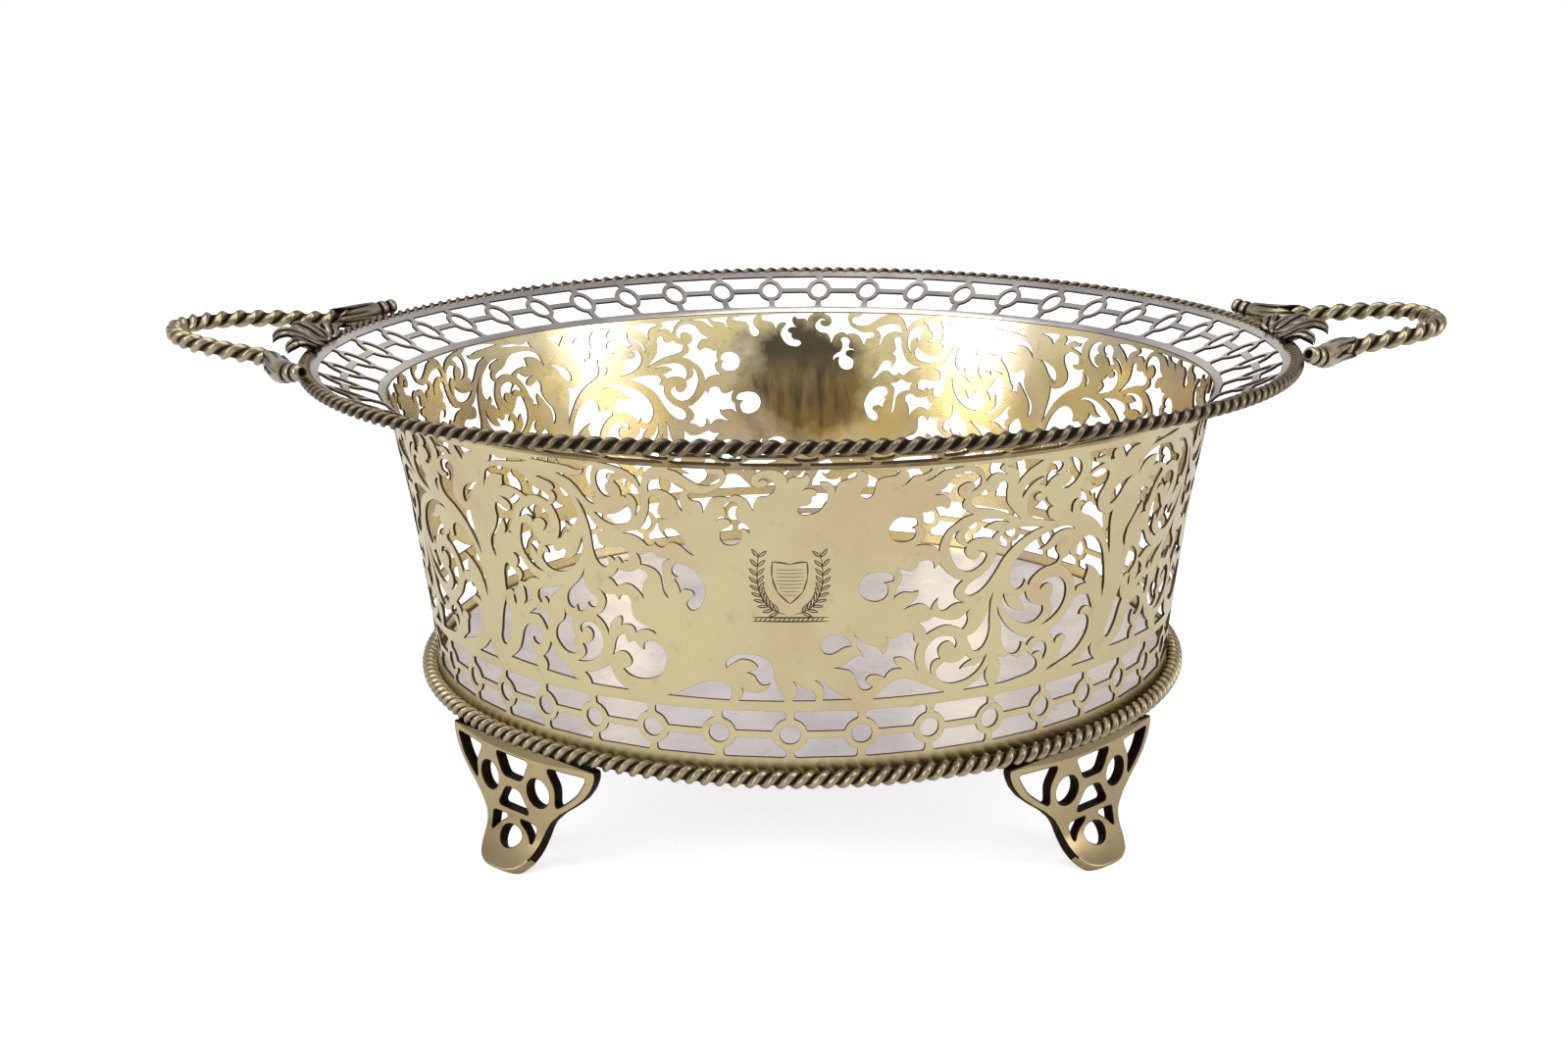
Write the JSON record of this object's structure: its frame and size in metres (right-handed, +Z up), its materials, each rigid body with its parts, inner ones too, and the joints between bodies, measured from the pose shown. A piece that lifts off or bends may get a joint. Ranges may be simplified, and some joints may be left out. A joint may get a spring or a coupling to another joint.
{
  "type": "basket",
  "caption": "Round pierced silver basket with scroll-cut wall, flared ring gallery, twisted rope borders, rope loop handles and pierced bracket feet",
  "frame": {"origin": "on the surface the basket stands on, under the middle of the basket", "axes": "+Z up, +X through the right handle, the plain front panel faces -Y"},
  "size_m": [0.2994, 0.2298, 0.1076],
  "materials": {
    "sheet_silver": "polished, warm tarnish",
    "rope_silver": "polished, dark in the grooves",
    "cast_silver": "cast, dark in the hollows",
    "foot_silver": "satin, warm tarnish",
    "plate_silver": "scuffed, greyish lilac tarnish"
  },
  "bodies": {
    "root": {"base_plate": "plate_silver", "base_collar": "sheet_silver", "base_rope": "rope_silver", "wall": "sheet_silver", "gallery": "sheet_silver", "rim_rope": "rope_silver", "handle_loop_left": "rope_silver", "leaf_left_near": "cast_silver", "leaf_left_far": "cast_silver", "spray_left": "cast_silver", "handle_loop_right": "rope_silver", "leaf_right_near": "cast_silver", "leaf_right_far": "cast_silver", "spray_right": "cast_silver", "foot_front_left": "foot_silver", "foot_front_right": "foot_silver", "foot_back_left": "foot_silver", "foot_back_right": "foot_silver"}
  },
  "joints": []
}
